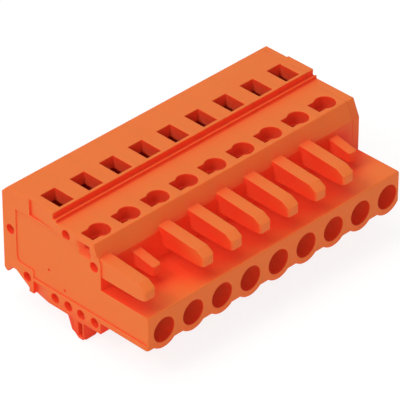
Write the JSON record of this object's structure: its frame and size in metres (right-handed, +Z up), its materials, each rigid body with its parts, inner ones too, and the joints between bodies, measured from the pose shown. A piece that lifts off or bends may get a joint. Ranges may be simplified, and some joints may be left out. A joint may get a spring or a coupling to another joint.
{
  "type": "pluggable terminal block",
  "caption": "Pluggable terminal block: a row of orange single-pole housings with front sockets, coding fingers, wire entries, tool slots and spring clamps.",
  "frame": {"origin": "centre of the flat underside, halfway along the row", "axes": "+X along the row towards the end plate, -Y the way the nose plugs in, +Z up out of the wire entries"},
  "size_m": [0.047, 0.026, 0.0171],
  "materials": {
    "orange_polyamide": "satin moulded",
    "tinned_copper": "tin plated",
    "spring_steel": "bright strip"
  },
  "bodies": {
    "housing": {"pole_housing_1": "orange_polyamide", "pole_housing_2": "orange_polyamide", "pole_housing_3": "orange_polyamide", "pole_housing_4": "orange_polyamide", "pole_housing_5": "orange_polyamide", "pole_housing_6": "orange_polyamide", "pole_housing_7": "orange_polyamide", "pole_housing_8": "orange_polyamide", "pole_housing_9": "orange_polyamide", "end_plate": "orange_polyamide", "contact_1": "tinned_copper", "contact_2": "tinned_copper", "contact_3": "tinned_copper", "contact_4": "tinned_copper", "contact_5": "tinned_copper", "contact_6": "tinned_copper", "contact_7": "tinned_copper", "contact_8": "tinned_copper", "contact_9": "tinned_copper"},
    "clamp_1": {"clamp_spring_1": "spring_steel"},
    "clamp_2": {"clamp_spring_2": "spring_steel"},
    "clamp_3": {"clamp_spring_3": "spring_steel"},
    "clamp_4": {"clamp_spring_4": "spring_steel"},
    "clamp_5": {"clamp_spring_5": "spring_steel"},
    "clamp_6": {"clamp_spring_6": "spring_steel"},
    "clamp_7": {"clamp_spring_7": "spring_steel"},
    "clamp_8": {"clamp_spring_8": "spring_steel"},
    "clamp_9": {"clamp_spring_9": "spring_steel"}
  },
  "joints": [
    {"name": "clamp_open_1", "type": "hinge", "parent": "housing", "child": "clamp_1", "pos_m": [-0.02058, 0.0004, 0.00451], "axis": [1, 0, 0], "range_deg": [0, 20], "stiffness_Nm_per_rad": 0.19, "deforming": ["clamp_spring_1"]},
    {"name": "clamp_open_2", "type": "hinge", "parent": "housing", "child": "clamp_2", "pos_m": [-0.0155, 0.0004, 0.00451], "axis": [1, 0, 0], "range_deg": [0, 20], "stiffness_Nm_per_rad": 0.19, "deforming": ["clamp_spring_2"]},
    {"name": "clamp_open_3", "type": "hinge", "parent": "housing", "child": "clamp_3", "pos_m": [-0.01042, 0.0004, 0.00451], "axis": [1, 0, 0], "range_deg": [0, 20], "stiffness_Nm_per_rad": 0.19, "deforming": ["clamp_spring_3"]},
    {"name": "clamp_open_4", "type": "hinge", "parent": "housing", "child": "clamp_4", "pos_m": [-0.00534, 0.0004, 0.00451], "axis": [1, 0, 0], "range_deg": [0, 20], "stiffness_Nm_per_rad": 0.19, "deforming": ["clamp_spring_4"]},
    {"name": "clamp_open_5", "type": "hinge", "parent": "housing", "child": "clamp_5", "pos_m": [-0.00026, 0.0004, 0.00451], "axis": [1, 0, 0], "range_deg": [0, 20], "stiffness_Nm_per_rad": 0.19, "deforming": ["clamp_spring_5"]},
    {"name": "clamp_open_6", "type": "hinge", "parent": "housing", "child": "clamp_6", "pos_m": [0.00482, 0.0004, 0.00451], "axis": [1, 0, 0], "range_deg": [0, 20], "stiffness_Nm_per_rad": 0.19, "deforming": ["clamp_spring_6"]},
    {"name": "clamp_open_7", "type": "hinge", "parent": "housing", "child": "clamp_7", "pos_m": [0.0099, 0.0004, 0.00451], "axis": [1, 0, 0], "range_deg": [0, 20], "stiffness_Nm_per_rad": 0.19, "deforming": ["clamp_spring_7"]},
    {"name": "clamp_open_8", "type": "hinge", "parent": "housing", "child": "clamp_8", "pos_m": [0.01498, 0.0004, 0.00451], "axis": [1, 0, 0], "range_deg": [0, 20], "stiffness_Nm_per_rad": 0.19, "deforming": ["clamp_spring_8"]},
    {"name": "clamp_open_9", "type": "hinge", "parent": "housing", "child": "clamp_9", "pos_m": [0.02006, 0.0004, 0.00451], "axis": [1, 0, 0], "range_deg": [0, 20], "stiffness_Nm_per_rad": 0.19, "deforming": ["clamp_spring_9"]}
  ]
}
